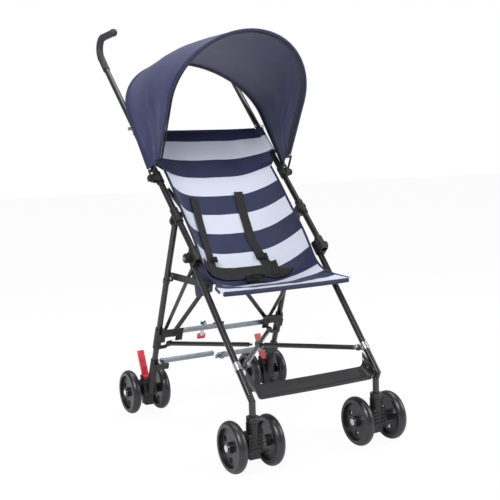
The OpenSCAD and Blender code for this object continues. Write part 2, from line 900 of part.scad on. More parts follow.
waist_hi = 9.7;
waist_lo = 10.3;
module harness() {
    color("black") {
        for (side = [-1, 1])
            strap(6.6, waist_lo - 0.1, side * 78, side * 50, 8);
        shell([for (a = [waist_hi, waist_lo]) [for (c = [-12:12]) at_seat(c * 12, a, strap_lift + strap_t + 0.3)]],
            [for (a = [waist_hi, waist_lo]) [for (c = [-12:12]) at_seat(c * 12, a, strap_lift + 0.3)]]);
        strap(waist_hi + 0.2, 14.2, 0, 0, 10);
    }
}

module buckle() {
    p = at_seat(0, 13.8, strap_lift + strap_t + gap + 5);
    color("black")
        translate(p)
            rotate([-6, 0, 0])
                box([44, 34, 9]);
}

function lerp2(a, b, t) = a + (b - a) * t;

module slab(a, b, t, hw) {
    d = (b - a) / norm(b - a);
    n = [-d.y, d.x] * t / 2;
    translate([hw, 0, 0])
        rotate([90, 0, -90])
            linear_extrude(2 * hw)
                polygon([for (p = [a + n, a - n, b - n, b + n]) [-p.x, p.y]]);
}

// Footrest: a flat strap between the front legs with an ear up each one
module footrest() {
    y_back = -266;
    y_front = -309;
    z_back = 186;
    z_front = 168;
    hw = leg_bend.x - tube_r - 8;
    color("black") {
        slab([y_back, z_back], [y_front, z_front], foot_t, hw);
        slab([y_front, z_front], [y_front - 6, z_front - 4], foot_t, hw - 14);
        for (side = [0, 1])
            mirror([side, 0, 0])
                translate([hw - 2, 0, 0])
                    rotate([90, 0, 90])
                        linear_extrude(4)
                            polygon([[y_back, z_back - 2], [y_back + 4, z_back + 22], [y_back - 14, z_back + 20],
                                [y_front + 2, z_front + 2]]);
    }
    for (side = [-1, 1])
        color("silver")
            for (r = [[-262, 204], [-279, 186]])
                rod([side * (hw + 1), r[0] - 6, r[1]], [side * (front_leg_x(r[1]) - tube_r - gap), r[0] - 6, r[1]], 3.4);
}

// Bow: a flat strip that rises straight from each pivot and closes in a half circle
function arch(t, half, h) = (t < 0.25) ? [half, t * 4 * (h - half)]
    : (t > 0.75) ? [-half, (1 - t) * 4 * (h - half)]
    : [half * cos((t - 0.25) * 360), h - half + half * sin((t - 0.25) * 360)];

module bow(half, h, lean, x_end, knee, room) {
    inner = half - canopy_t - room - bow_t;
    color("black")
        translate([0, canopy_pivot.y, canopy_pivot.z])
            rotate([lean, 0, 0])
                rotate([90, 0, 0])
                    translate([0, 0, -bow_w / 2]) {
                        translate([0, h - half, 0])
                            rotate_extrude(angle = 180, $fn = 96)
                                translate([inner, 0])
                                    square([bow_t, bow_w]);
                        for (side = [0, 1])
                            mirror([side, 0, 0])
                                translate([inner, knee - 2, 0])
                                    cube([bow_t, h - half - knee + 2, bow_w]);
                    }
    for (side = [-1, 1])
        color("black")
            translate([0, canopy_pivot.y, canopy_pivot.z])
                rotate([lean, 0, 0])
                    difference() {
                        union() {
                            translate([side * (x_end + 1.5), 0, 0])
                                rotate([0, 90, 0])
                                    cylinder(h = 3, r = 11, center = true);
                            translate([side * (x_end + 1.5), 0, knee / 2 + 1.5])
                                box([3, bow_w, knee + 3]);
                            translate([side * (inner + x_end + 3) / 2, 0, knee])
                                box([x_end + 3 - inner, bow_w, 6]);
                        }
                        rotate([0, 90, 0])
                            cylinder(h = 3 * canopy_x, r = pin_r + 1 + run, center = true);
                    }
}

module canopy_bow_front() {
    bow(front_half, front_bow_h, front_bow_lean, canopy_x, front_knee, bow_room(front_bow_h, front_over));
}

module canopy_bow_rear() {
    bow(rear_half, rear_bow_h, -rear_bow_lean, canopy_x + 3 + gap, rear_knee, bow_room(rear_bow_h, rear_over));
}

// Canopy cloth between the two bows, a little fuller between them than a flat sheet
bow_edge = 10;
canopy_n = 36;
canopy_m = 6;
canopy_full = 18;
cloth_above = 5.5;

function bow_pt(t, half, h, lean) =
    let(a = arch(t, half, h))
        [a.x, canopy_pivot.y - a.y * sin(lean), canopy_pivot.z + a.y * cos(lean)];
function cloth(t, w, inset) =
    let(tf = (front_knee + 3 + cloth_above) / 4 / (front_bow_h - front_half),
        tr = (rear_knee + 3 + cloth_above) / 4 / (rear_bow_h - rear_half),
        f = bow_pt(tf + (1 - 2 * tf) * t, front_half - inset, front_bow_h - inset, front_bow_lean + front_over),
        r = bow_pt(tr + (1 - 2 * tr) * t, rear_half - inset, rear_bow_h - inset, -rear_bow_lean - rear_over),
        b = canopy_full * 4 * w * (1 - w) * sin(180 * t))
        f + (r - f) * w + b * [0, 0.12, 0.99];

module canopy() {
    color("midnightblue")
        shell([for (j = [0:canopy_m]) [for (i = [0:canopy_n]) cloth(i / canopy_n, j / canopy_m, 0)]],
            [for (j = [0:canopy_m]) [for (i = [0:canopy_n]) cloth(i / canopy_n, j / canopy_m, canopy_t)]]);
}

module whole_front_leg() {
    front_leg();
    link_pin();
}

module whole_rear_leg() {
    rear_leg();
    link_peg();
}

module whole_rear_housing(k) {
    rear_housing();
    rear_ear_pin(k);
}

module upper_bar_left() {
    bar_half(upper_x, knot_v + 4, 1);
    upper_middle();
    foot_lever_pin();
}

module lower_bar_right() {
    bar_half(lower_x, low_v, 0);
    lower_middle();
}

right() push_tube();  // push_tube_right
left() push_tube();  // push_tube_left
right() grip();  // grip_right
left() grip();  // grip_left
right() hub();  // hub_right
left() hub();  // hub_left
right() lower_clamp();  // lower_clamp_right
left() lower_clamp();  // lower_clamp_left
right() whole_front_leg();  // front_leg_right
left() whole_front_leg();  // front_leg_left
right() canopy_clamp();  // canopy_clamp_right
left() canopy_clamp();  // canopy_clamp_left
right() seat_pin();  // seat_pin_right
left() seat_pin();  // seat_pin_left
right() front_bracket();  // front_bracket_right
left() front_bracket();  // front_bracket_left
right() front_arm_right();
left() front_arm();  // front_arm_left
right() caster();  // caster_right
left() caster();  // caster_left
right() axle(front_axle, front_wheel_off);  // front_axle_right
left() axle(front_axle, front_wheel_off);  // front_axle_left
right() wheel(front_axle + [front_wheel_off, 0, 0]);  // front_wheel_right_outer
right() wheel(front_axle - [front_wheel_off, 0, 0]);  // front_wheel_right_inner
left() wheel(front_axle + [front_wheel_off, 0, 0]);  // front_wheel_left_outer
left() wheel(front_axle - [front_wheel_off, 0, 0]);  // front_wheel_left_inner
right() whole_rear_leg();  // rear_leg_right
left() whole_rear_leg();  // rear_leg_left
right() whole_rear_housing(0);  // rear_housing_right
left() whole_rear_housing(1);  // rear_housing_left
right() axle(rear_axle, rear_wheel_off);  // rear_axle_right
left() axle(rear_axle, rear_wheel_off);  // rear_axle_left
right() wheel(rear_axle + [rear_wheel_off, 0, 0]);  // rear_wheel_right_outer
right() wheel(rear_axle - [rear_wheel_off, 0, 0]);  // rear_wheel_right_inner
left() wheel(rear_axle + [rear_wheel_off, 0, 0]);  // rear_wheel_left_outer
left() wheel(rear_axle - [rear_wheel_off, 0, 0]);  // rear_wheel_left_inner
right() brake_lever();  // brake_lever_right
left() brake_lever();  // brake_lever_left
right() rear_bracket(0);  // rear_bracket_right
left() rear_bracket(1);  // rear_bracket_left
right() rear_arm();  // rear_arm_right
left() rear_arm();  // rear_arm_left
right() back_tube(0);  // back_tube_right
left() back_tube(1);  // back_tube_left
right() side_tube();  // side_tube_right
left() side_tube();  // side_tube_left
right() side_link();  // side_link_right
left() side_link();  // side_link_left
right() bar_half(upper_x, knot_v + 4, 0);  // upper_bar_right
left() upper_bar_left();
right() lower_bar_right();
left() bar_half(lower_x, low_v, 1);  // lower_bar_left
left() foot_lever();
place() seat();
place() harness();
place() buckle();
place() footrest();
place() canopy();
place() canopy_bow_front();
place() canopy_bow_rear();
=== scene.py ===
import math

import bmesh
import bpy
from mathutils import Matrix, Vector, noise


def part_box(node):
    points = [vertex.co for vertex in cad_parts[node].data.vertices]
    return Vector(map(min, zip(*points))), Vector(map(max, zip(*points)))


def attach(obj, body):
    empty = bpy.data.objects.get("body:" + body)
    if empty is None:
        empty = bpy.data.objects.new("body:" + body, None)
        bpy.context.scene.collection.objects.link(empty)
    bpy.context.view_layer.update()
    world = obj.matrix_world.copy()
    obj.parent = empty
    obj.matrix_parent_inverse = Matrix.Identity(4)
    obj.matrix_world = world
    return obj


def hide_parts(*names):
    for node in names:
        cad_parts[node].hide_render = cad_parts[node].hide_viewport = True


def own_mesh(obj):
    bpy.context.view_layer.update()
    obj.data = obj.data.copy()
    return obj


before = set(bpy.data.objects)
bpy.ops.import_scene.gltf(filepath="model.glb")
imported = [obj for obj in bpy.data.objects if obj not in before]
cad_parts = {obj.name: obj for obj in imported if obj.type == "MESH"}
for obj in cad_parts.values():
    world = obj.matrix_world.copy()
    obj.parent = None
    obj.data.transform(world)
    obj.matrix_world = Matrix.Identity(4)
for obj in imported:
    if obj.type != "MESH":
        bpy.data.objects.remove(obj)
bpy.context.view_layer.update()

# ---------------------------------------------------------------- sizes, in metres
AXLE_MIDDLE = 0.08524            # the middle of the part lies this far behind the middle of the axles
PUSH_X = 0.1835
PUSH_FOOT = Vector((PUSH_X, -0.060, 0.468))
PUSH_ANGLE = math.radians(43.3)
PUSH_LENGTH = 0.717
PUSH_SPLAY = 0.0135
SEAT_THICK = 0.0035
STRIPE = 0.0592
TOP_HEM = 0.037
STRAP = 0.025                    # width of the shoulder and crotch webbing
WAIST_STRAP = 0.034
WEBBING_THICK = 0.0017
SEAT_HALF = 0.162                # half the sling's width where it hangs between the side links
SEAT_EDGE = 0.0092               # from a push tube's axis to the cloth's edge at the top
LEVER_TIP = 0.018                # height of the red tread on the foot lever


def here(x, y, z):
    """A point given from the middle of the axles, in the part's own place."""
    return Vector((x, y - AXLE_MIDDLE, z))


def on_push(s, side=1):
    """A place on the axis of a push tube, at a length s from its foot."""
    t = s / PUSH_LENGTH
    return here(side * (PUSH_FOOT.x + PUSH_SPLAY * t), PUSH_FOOT.y + s * math.cos(PUSH_ANGLE),
                PUSH_FOOT.z + s * math.sin(PUSH_ANGLE))


def behind_push(s, n):
    """The side view's place at a length s along the push tubes and n behind their line."""
    return Vector((PUSH_FOOT.y + s * math.cos(PUSH_ANGLE) + n * math.sin(PUSH_ANGLE),
                   PUSH_FOOT.z + s * math.sin(PUSH_ANGLE) - n * math.cos(PUSH_ANGLE)))


# ---------------------------------------------------------------- shader node groups
def new_group(name, inputs, outputs):
    """An empty node group with its sockets, and its own input and output nodes."""
    group = bpy.data.node_groups.new(name, "ShaderNodeTree")
    for label, kind, value in inputs:
        socket = group.interface.new_socket(label, in_out="INPUT", socket_type=kind)
        if value is not None:
            socket.default_value = value
    for label, kind in outputs:
        group.interface.new_socket(label, in_out="OUTPUT", socket_type=kind)
    return group, group.nodes.new("NodeGroupInput"), group.nodes.new("NodeGroupOutput")


def node(tree, kind, **settings):
    """A shader node with its sockets and properties set."""
    made = tree.nodes.new("ShaderNode" + kind)
    for key, value in settings.items():
        if key in made.inputs:
            made.inputs[key].default_value = value
        else:
            setattr(made, key, value)
    return made


def maths(tree, operation, a, b):
    """One step of arithmetic in a shader tree."""
    made = node(tree, "Math", operation=operation)
    for i, value in enumerate((a, b)):
        if isinstance(value, (int, float)):
            made.inputs[i].default_value = value
        else:
            tree.links.new(value, made.inputs[i])
    return made.outputs[0]


def weave_group():
    """Plain weave: threads over and under each other, on the piece's own UV map in metres."""
    group, given, out = new_group("plain_weave",
        [("Vector", "NodeSocketVector", None), ("Thread", "NodeSocketFloat", 0.0011)],
        [("Height", "NodeSocketFloat"), ("Slub", "NodeSocketFloat")])
    link = group.links.new
    apart = node(group, "SeparateXYZ")
    link(given.outputs["Vector"], apart.inputs[0])
    rate = maths(group, "DIVIDE", math.pi, given.outputs["Thread"])
    across = maths(group, "SINE", maths(group, "MULTIPLY", apart.outputs[0], rate), 0)
    along = maths(group, "SINE", maths(group, "MULTIPLY", apart.outputs[1], rate), 0)
    link(maths(group, "MULTIPLY", across, along), out.inputs["Height"])
    slub = node(group, "TexNoise", Scale=420.0, Detail=3.0)
    link(given.outputs["Vector"], slub.inputs["Vector"])
    link(slub.outputs["Fac"], out.inputs["Slub"])
    return group


def wear_group():
    """Rubbed edges and handling marks: a mask on corners, broken up by a coarse noise."""
    group, given, out = new_group("rubbed_edges",
        [("Amount", "NodeSocketFloat", 0.5), ("Scale", "NodeSocketFloat", 60.0)],
        [("Mask", "NodeSocketFloat"), ("Mottle", "NodeSocketFloat")])
    link = group.links.new
    place = node(group, "TexCoord")
    shape = node(group, "NewGeometry")
    edge = node(group, "MapRange")
    edge.inputs["From Min"].default_value = 0.53
    edge.inputs["From Max"].default_value = 0.62
    link(shape.outputs["Pointiness"], edge.inputs["Value"])
    marks = node(group, "TexNoise", Detail=5.0)
    link(place.outputs["Object"], marks.inputs["Vector"])
    link(given.outputs["Scale"], marks.inputs["Scale"])
    broken = maths(group, "MULTIPLY", edge.outputs[0], marks.outputs["Fac"])
    link(maths(group, "MULTIPLY", broken, given.outputs["Amount"]), out.inputs["Mask"])
    link(marks.outputs["Fac"], out.inputs["Mottle"])
    return group


def pebble_group():
    """Fine moulded grain, as spark-eroded plastic and powder coat have."""
    group, given, out = new_group("moulded_grain",
        [("Scale", "NodeSocketFloat", 1500.0)], [("Height", "NodeSocketFloat")])
    link = group.links.new
    place = node(group, "TexCoord")
    cells = node(group, "TexVoronoi")
    fine = node(group, "TexNoise", Detail=2.0)
    for made in (cells, fine):
        link(place.outputs["Object"], made.inputs["Vector"])
        link(given.outputs["Scale"], made.inputs["Scale"])
    link(maths(group, "ADD", cells.outputs["Distance"], fine.outputs["Fac"]), out.inputs["Height"])
    return group


WEAVE = weave_group()
WEAR = wear_group()
PEBBLE = pebble_group()


def use_group(tree, group, **values):
    made = tree.nodes.new("ShaderNodeGroup")
    made.node_tree = group
    for key, value in values.items():
        made.inputs[key].default_value = value
    return made


def new_material(name, **principled):
    made = bpy.data.materials.new(name)
    made.use_nodes = True
    shader = made.node_tree.nodes["Principled BSDF"]
    for key, value in principled.items():
        label = key.replace("_", " ")
        if label == "Specular":
            label = "Specular IOR Level"
        if isinstance(value, tuple) and len(value) == 3:
            value = (*value, 1.0)
        shader.inputs[label].default_value = value
    made.diffuse_color = shader.inputs["Base Color"].default_value
    return made, made.node_tree, shader


def mix_colours(tree, factor, a, b, blend_type="MIX"):
    made = node(tree, "Mix", data_type="RGBA", blend_type=blend_type)
    for socket, value in ((made.inputs["Factor"], factor), (made.inputs[6], a), (made.inputs[7], b)):
        if isinstance(value, bpy.types.NodeSocket):
            tree.links.new(value, socket)
        elif isinstance(value, tuple):
            socket.default_value = (*value, 1.0)
        else:
            socket.default_value = value
    return made.outputs[2]


def bump(tree, shader, height, strength, distance):
    made = node(tree, "Bump", Strength=strength, Distance=distance)
    tree.links.new(height, made.inputs["Height"])
    tree.links.new(made.outputs["Normal"], shader.inputs["Normal"])
    return made


def ranged(tree, value, low, high, from_low=0.3, from_high=0.7):
    made = node(tree, "MapRange")
    tree.links.new(value, made.inputs["Value"])
    for label, number in (("From Min", from_low), ("From Max", from_high), ("To Min", low), ("To Max", high)):
        made.inputs[label].default_value = number
    return made.outputs[0]


def moulded(name, colour, rubbed, rough, grain=1500.0, depth=0.00006, metal=0.0, coat=0.0, amount=0.5):
    """Moulded plastic, rubber or painted metal: mottled colour, rubbed edges, fine grain."""
    made, tree, shader = new_material(name, Base_Color=colour, Roughness=rough, Metallic=metal,
                                      Coat_Weight=coat, Coat_Roughness=0.2)
    wear = use_group(tree, WEAR, Amount=amount)
    tint = ranged(tree, wear.outputs["Mottle"], 0.0, 1.0)
    deep = tuple(c * 0.8 for c in colour)
    base = mix_colours(tree, tint, deep, tuple(min(1, c * 1.2) for c in colour))
    tree.links.new(mix_colours(tree, wear.outputs["Mask"], base, rubbed), shader.inputs["Base Color"])
    tree.links.new(ranged(tree, wear.outputs["Mottle"], rough * 0.82, min(1, rough * 1.2)),
                   shader.inputs["Roughness"])
    pebble = use_group(tree, PEBBLE, Scale=grain)
    bump(tree, shader, pebble.outputs["Height"], 0.35, depth)
    return made


def bright(name, colour, rough, streak):
    """Plated steel: faint drawn streaks and cloudy patches."""
    made, tree, shader = new_material(name, Base_Color=colour, Metallic=1.0, Roughness=rough)
    place = node(tree, "TexCoord")
    turn = node(tree, "Mapping")
    turn.inputs["Scale"].default_value = streak
    marks = node(tree, "TexNoise", Scale=1.0, Detail=4.0)
    tree.links.new(place.outputs["Object"], turn.inputs["Vector"])
    tree.links.new(turn.outputs["Vector"], marks.inputs["Vector"])
    tree.links.new(ranged(tree, marks.outputs["Fac"], rough * 0.7, rough * 1.6), shader.inputs["Roughness"])
    wear = use_group(tree, WEAR, Amount=0.6)
    tint = ranged(tree, wear.outputs["Mottle"], 0.0, 1.0)
    tree.links.new(mix_colours(tree, tint, tuple(c * 0.82 for c in colour), colour),
                   shader.inputs["Base Color"])
    bump(tree, shader, marks.outputs["Fac"], 0.15, 0.00005)
    return made


NAVY = (0.013, 0.017, 0.060)
NAVY_LIT = (0.027, 0.033, 0.105)
WHITE = (0.66, 0.69, 0.80)


def cloth(name, striped=False, colour=NAVY, lit=NAVY_LIT, thread=0.0011, sheen=0.10, rough=0.66,
          depth=0.00018):
    """Woven polyester on the piece's own UV map, in metres across and along the cloth."""
    made, tree, shader = new_material(name, Base_Color=colour, Roughness=rough, Sheen_Weight=sheen,
                                      Sheen_Roughness=0.4, Sheen_Tint=(0.75, 0.78, 0.95))
    lay = node(tree, "UVMap")
    weave = use_group(tree, WEAVE, Thread=thread)
    tree.links.new(lay.outputs["UV"], weave.inputs["Vector"])
    soft = node(tree, "TexNoise", Scale=9.0, Detail=3.0)
    tree.links.new(lay.outputs["UV"], soft.inputs["Vector"])
    patch = ranged(tree, soft.outputs["Fac"], 0.0, 1.0)
    thread_tint = ranged(tree, weave.outputs["Slub"], 0.0, 1.0)
    base = mix_colours(tree, thread_tint, colour, lit)
    base = mix_colours(tree, patch, base, tuple(c * 0.86 for c in colour))
    if striped:
        apart = node(tree, "SeparateXYZ")
        tree.links.new(lay.outputs["UV"], apart.inputs[0])
        turn = maths(tree, "DIVIDE", maths(tree, "SUBTRACT", apart.outputs[1], TOP_HEM), 2 * STRIPE)
        half = maths(tree, "LESS_THAN", maths(tree, "FRACT", turn, 0), 0.5)
        below = maths(tree, "GREATER_THAN", apart.outputs[1], TOP_HEM)
        pale = mix_colours(tree, thread_tint, tuple(c * 0.93 for c in WHITE), WHITE)
        pale = mix_colours(tree, patch, pale, tuple(c * 0.93 for c in WHITE))
        base = mix_colours(tree, maths(tree, "MULTIPLY", half, below), base, pale)
    tree.links.new(base, shader.inputs["Base Color"])
    both = maths(tree, "ADD", weave.outputs["Height"], maths(tree, "MULTIPLY", soft.outputs["Fac"], 2.0))
    bump(tree, shader, both, 0.5, depth)
    return made


SEAT_CLOTH = cloth("striped_seat_cloth", striped=True)
CANOPY_CLOTH = cloth("navy_canopy_cloth", colour=(0.019, 0.023, 0.085), lit=(0.036, 0.042, 0.145), sheen=0.14,
                     rough=0.55)
LINING = cloth("canopy_lining", colour=(0.030, 0.034, 0.095), lit=(0.052, 0.058, 0.145), sheen=0.2, rough=0.5)
HEM_CLOTH = cloth("navy_binding", colour=(0.011, 0.014, 0.050), lit=(0.022, 0.027, 0.085), thread=0.0008)
WEBBING = cloth("black_webbing", colour=(0.0035, 0.0035, 0.004), lit=(0.010, 0.010, 0.011), thread=0.0017,
                sheen=0.04, depth=0.0003)
FOOT_STRAP = cloth("footrest_strap", colour=(0.006, 0.006, 0.007), lit=(0.014, 0.014, 0.016), thread=0.0013,
                   sheen=0.05, rough=0.3)
PAINT = moulded("black_tube_paint", (0.007, 0.007, 0.008), (0.04, 0.04, 0.042), 0.26, coat=0.4, grain=900.0,
                depth=0.00003, amount=0.1)
PLASTIC = moulded("black_moulding", (0.006, 0.006, 0.0065), (0.03, 0.03, 0.032), 0.42)
TYRE = moulded("wheel_moulding", (0.013, 0.0125, 0.015), (0.05, 0.05, 0.054), 0.34, grain=1100.0, coat=0.12)
GRIP = moulded("grip_rubber", (0.030, 0.027, 0.036), (0.09, 0.083, 0.095), 0.58, grain=800.0, depth=0.0002)
RED = moulded("red_lever_plastic", (0.56, 0.012, 0.035), (0.75, 0.12, 0.13), 0.32, coat=0.3)
CHROME = bright("bright_plating", (0.78, 0.79, 0.81), 0.13, (60, 60, 400))
ZINC = bright("zinc_bar", (0.30, 0.33, 0.36), 0.34, (20, 500, 500))


# ---------------------------------------------------------------- modelling helpers
def deselect():
    if bpy.context.object and bpy.context.object.mode != "OBJECT":
        bpy.ops.object.mode_set(mode="OBJECT")
    bpy.ops.object.select_all(action="DESELECT")


def only(piece):
    deselect()
    piece.select_set(True)
    bpy.context.view_layer.objects.active = piece


def modify(piece, kind, **settings):
    """Adds a modifier and applies it."""
    only(piece)
    made = piece.modifiers.new(kind.lower(), kind)
    for key, value in settings.items():
        setattr(made, key, value)
    bpy.ops.object.modifier_apply(modifier=made.name)


def settle(piece, name, material, body, smooth=35):
    """Puts the piece's place into its mesh, names and dresses it, and gives it to a body."""
    only(piece)
    if piece.type != "MESH":
        bpy.ops.object.convert(target="MESH")
        piece = bpy.context.object
    bpy.ops.object.transform_apply(location=True, rotation=True, scale=True)
    piece.name = name
    piece.data.name = name
    if material is not None:
        piece.data.materials.clear()
        piece.data.materials.append(material)
    bpy.ops.object.shade_smooth_by_angle(angle=math.radians(smooth))
    if body is not None:
        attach(piece, body)
    return piece


def grid_piece(name, across, along, place, lay):
    """A sheet: a grid whose points go where place says, with its own UV map in metres."""
    deselect()
    bpy.ops.mesh.primitive_grid_add(x_subdivisions=across, y_subdivisions=along, size=1)
    piece = bpy.context.object
    piece.name = name
    mesh = piece.data
    spots = [(v.co.x + 0.5, v.co.y + 0.5) for v in mesh.vertices]
    for vertex, (s, t) in zip(mesh.vertices, spots):
        vertex.co = place(s, t)
    uv = mesh.uv_layers.active or mesh.uv_layers.new(name="UVMap")
    for loop in mesh.loops:
        uv.data[loop.index].uv = lay(*spots[loop.vertex_index])
    mesh.update()
    return piece


def squeezed(piece):
    """Gives a soft piece its own copy of its mesh."""
    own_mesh(piece)


# ---------------------------------------------------------------- camera, floor and light
def set_camera():
    """A long lens from the front left, a little above the seat, turned slightly on its axis."""
    turn, down, roll = math.radians(29.51), math.radians(5.95), math.radians(-1.61)
    ahead = Vector((math.sin(turn) * math.cos(down), math.cos(turn) * math.cos(down), -math.sin(down)))
    right = Vector((math.cos(turn), -math.sin(turn), 0))
    up = right.cross(ahead)
    tilted = right * math.cos(roll) + up * math.sin(roll)
    up = up * math.cos(roll) - right * math.sin(roll)
    data = bpy.data.cameras.new("camera")
    data.sensor_width = 36
    data.lens = 66.56
    data.shift_x = -0.0176
    data.shift_y = -0.0202
    camera = bpy.data.objects.new("camera", data)
    bpy.context.collection.objects.link(camera)
    turned = Matrix((tilted, up, -ahead)).transposed().to_4x4()
    camera.matrix_world = Matrix.Translation(here(-1.154, -2.087, 0.7386)) @ turned
    bpy.context.scene.camera = camera


def set_stage():
    """A plain pale floor and a white surround with soft light."""
    deselect()
    bpy.ops.mesh.primitive_plane_add(size=24, location=(0, 0, 0))
    floor = bpy.context.object
    floor.name = "floor"
    made = bpy.data.materials.new("pale_floor")
    made.use_nodes = True
    tree = made.node_tree
    tree.nodes.clear()
    out = node(tree, "OutputMaterial")
    matt = node(tree, "BsdfDiffuse", Color=(0.86, 0.86, 0.87, 1))
    glow = node(tree, "Emission", Color=(1, 1, 1, 1), Strength=1.0)
    seen = node(tree, "LightPath")
    both = node(tree, "MixShader")
    share = maths(tree, "MULTIPLY", seen.outputs["Is Camera Ray"], 0.95)
    tree.links.new(share, both.inputs["Fac"])
    tree.links.new(matt.outputs[0], both.inputs[1])
    tree.links.new(glow.outputs[0], both.inputs[2])
    tree.links.new(both.outputs[0], out.inputs["Surface"])
    floor.data.materials.append(made)
    world = bpy.data.worlds.new("studio")
    bpy.context.scene.world = world
    world.use_nodes = True
    tree = world.node_tree
    tree.nodes.clear()
    out = node(tree, "OutputWorld")
    lit = node(tree, "Background", Color=(0.96, 0.97, 1.0, 1), Strength=0.38)
    white = node(tree, "Background", Color=(1, 1, 1, 1), Strength=1.0)
    seen = node(tree, "LightPath")
    both = node(tree, "MixShader")
    tree.links.new(seen.outputs["Is Camera Ray"], both.inputs["Fac"])
    tree.links.new(lit.outputs[0], both.inputs[1])
    tree.links.new(white.outputs[0], both.inputs[2])
    tree.links.new(both.outputs[0], out.inputs["Surface"])


def soft_lamp(name, place, towards, size, power):
    """A large soft lamp turned to a target."""
    data = bpy.data.lights.new(name, "AREA")
    data.shape = "RECTANGLE"
    data.size, data.size_y = size
    data.energy = power
    lamp = bpy.data.objects.new(name, data)
    bpy.context.collection.objects.link(lamp)
    lamp.location = place
    lamp.rotation_euler = (Vector(towards) - Vector(place)).to_track_quat("-Z", "Y").to_euler()


bpy.context.scene.view_settings.view_transform = "Standard"
set_camera()
set_stage()
soft_lamp("key_softbox", (-2.2, -2.4, 3.0), (0, 0, 0.5), (1.8, 1.8), 120)
soft_lamp("fill_softbox", (2.8, -1.8, 2.0), (0, 0, 0.5), (1.6, 2.0), 62)
soft_lamp("top_softbox", (0.2, 0.8, 3.4), (0, 0, 0.5), (2.4, 2.4), 60)


# ---------------------------------------------------------------- seat
# Rows of the back in mm: length up the push tubes, then how far the middle and the edges hang behind
# their line. Rows of the seat: y and z of the middle, y and z of the edges, half width.
BACK_ROWS = [(455, 4, 0), (424, 9, 0), (390, 20, 0), (352, 30, 0), (324, 37, 0), (300, 42, 0), (258, 52, 0),
             (213, 62, 2), (162, 73, 6), (112, 84, 8), (62, 96, 11), (20, 107, 18), (-16, 116, 25)]
PAN_ROWS = [(-18, 374, -76, 421, 162), (-58, 379, -96, 412, 161), (-100, 384, -122, 404, 160),
            (-145, 388, -147, 397, 176), (-186, 391, -186, 393, 186)]
SEAT_STEP = 322                  # above this length the cloth is held close beside the tubes
SAG_POWER = 3.3                  # how flat the sling's middle is across its width
SEAT_ROWS = []
for s, middle, edge in BACK_ROWS:
    beside_tube = PUSH_X + PUSH_SPLAY * s / (PUSH_LENGTH * 1000) - SEAT_EDGE
    half = beside_tube if s > SEAT_STEP else SEAT_HALF
    SEAT_ROWS.append((behind_push(s / 1000, middle / 1000), behind_push(s / 1000, edge / 1000), half))
for y, z, ye, ze, half in PAN_ROWS:
    SEAT_ROWS.append((Vector((y, z)) / 1000, Vector((ye, ze)) / 1000, half / 1000))
LAST = len(SEAT_ROWS) - 1
ARC = [0.0]
for one, two in zip(SEAT_ROWS, SEAT_ROWS[1:]):
    ARC.append(ARC[-1] + (two[0] - one[0]).length)


def rounded(a, pick):
    """A value between rows, along a smooth curve through them."""
    i = min(int(a), LAST - 1)
    f = a - i
    p0, p1, p2, p3 = (pick(SEAT_ROWS[min(max(k, 0), LAST)]) for k in (i - 1, i, i + 1, i + 2))
    return (p1 * 2 + (p2 - p0) * f + (p0 * 2 - p1 * 5 + p2 * 4 - p3) * f * f
            + (p1 * 3 - p0 - p2 * 3 + p3) * f ** 3) * 0.5


def half_width(a):
    """Half the sling's width at a row place."""
    i = min(int(a), LAST - 1)
    return SEAT_ROWS[i][2] + (SEAT_ROWS[i + 1][2] - SEAT_ROWS[i][2]) * (a - i)


def lift_way(a):
    """The way off the cloth at a row, in the side view."""
    low, high = max(a - 0.5, 0), min(a + 0.5, LAST)
    way = rounded(high, lambda r: r[0]) - rounded(low, lambda r: r[0])
    return Vector((way.y, -way.x)).normalized()


def on_seat(x, a, up=0.0):
    """A place on the sagging cloth, or at a height above it."""
    middle, edge = rounded(a, lambda r: r[0]), rounded(a, lambda r: r[1])
    sag = 1 - min(1, abs(x) / half_width(a)) ** SAG_POWER
    p = edge + (middle - edge) * sag + lift_way(a) * up
    return here(x, p.x, p.y)


def row_at(v):
    """The row place at a length v along the middle of the cloth."""
    for i in range(LAST):
        if v <= ARC[i + 1]:
            return i + (v - ARC[i]) / (ARC[i + 1] - ARC[i])
    return float(LAST)


CLOTH_LENGTH = ARC[-1]


def cloth_fold(x, v):
    """Small standing folds of a loaded sling: long ones down the back, short ones by the crease."""
    long = noise.noise(Vector((x * 16, v * 3.2, 0.4))) * 0.0030
    fine = noise.noise(Vector((x * 38, v * 24, 2.7))) * 0.0011
    fan = math.sin(x * 95 + v * 20) * 0.0007 * min(1, max(0, (abs(x) - 0.05) * 12)) * (0.2 < v < 0.5)
    edge = min(1.0, (half_width(row_at(v)) - abs(x)) / 0.02)
    return (long + fine + fan) * max(0.0, edge) * min(1.0, v / 0.03)


def seat_point(s, t):
    v = t * CLOTH_LENGTH
    a = row_at(v)
    x = (2 * s - 1) * half_width(a)
    return on_seat(x, a, cloth_fold(x, v) + 0.0005)


def seat_uv(s, t):
    v = t * CLOTH_LENGTH
    return ((2 * s - 1) * half_width(row_at(v)), v)


def make_seat():
    """The striped sling that hangs between the push tubes and runs forward to the knees."""
    seat = grid_piece("seat_sling", 72, 150, seat_point, seat_uv)
    modify(seat, "SOLIDIFY", thickness=SEAT_THICK, offset=0)
    seat = settle(seat, "seat_sling", SEAT_CLOTH, "side_right", 60)
    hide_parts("seat")
    squeezed(seat)


def tube_along(name, points, radius, material, body):
    """A round roll of cloth through the points, made as a bevelled curve."""
    data = bpy.data.curves.new(name, "CURVE")
    data.dimensions = "3D"
    data.bevel_depth = radius
    data.bevel_resolution = 4
    data.use_fill_caps = True
    data.resolution_u = 6
    line = data.splines.new("BEZIER")
    line.bezier_points.add(len(points) - 1)
    for knot, p in zip(line.bezier_points, points):
        knot.co = p
        knot.handle_left_type = knot.handle_right_type = "AUTO"
    piece = bpy.data.objects.new(name, data)
    bpy.context.collection.objects.link(piece)
    return settle(piece, name, material, body, 60)


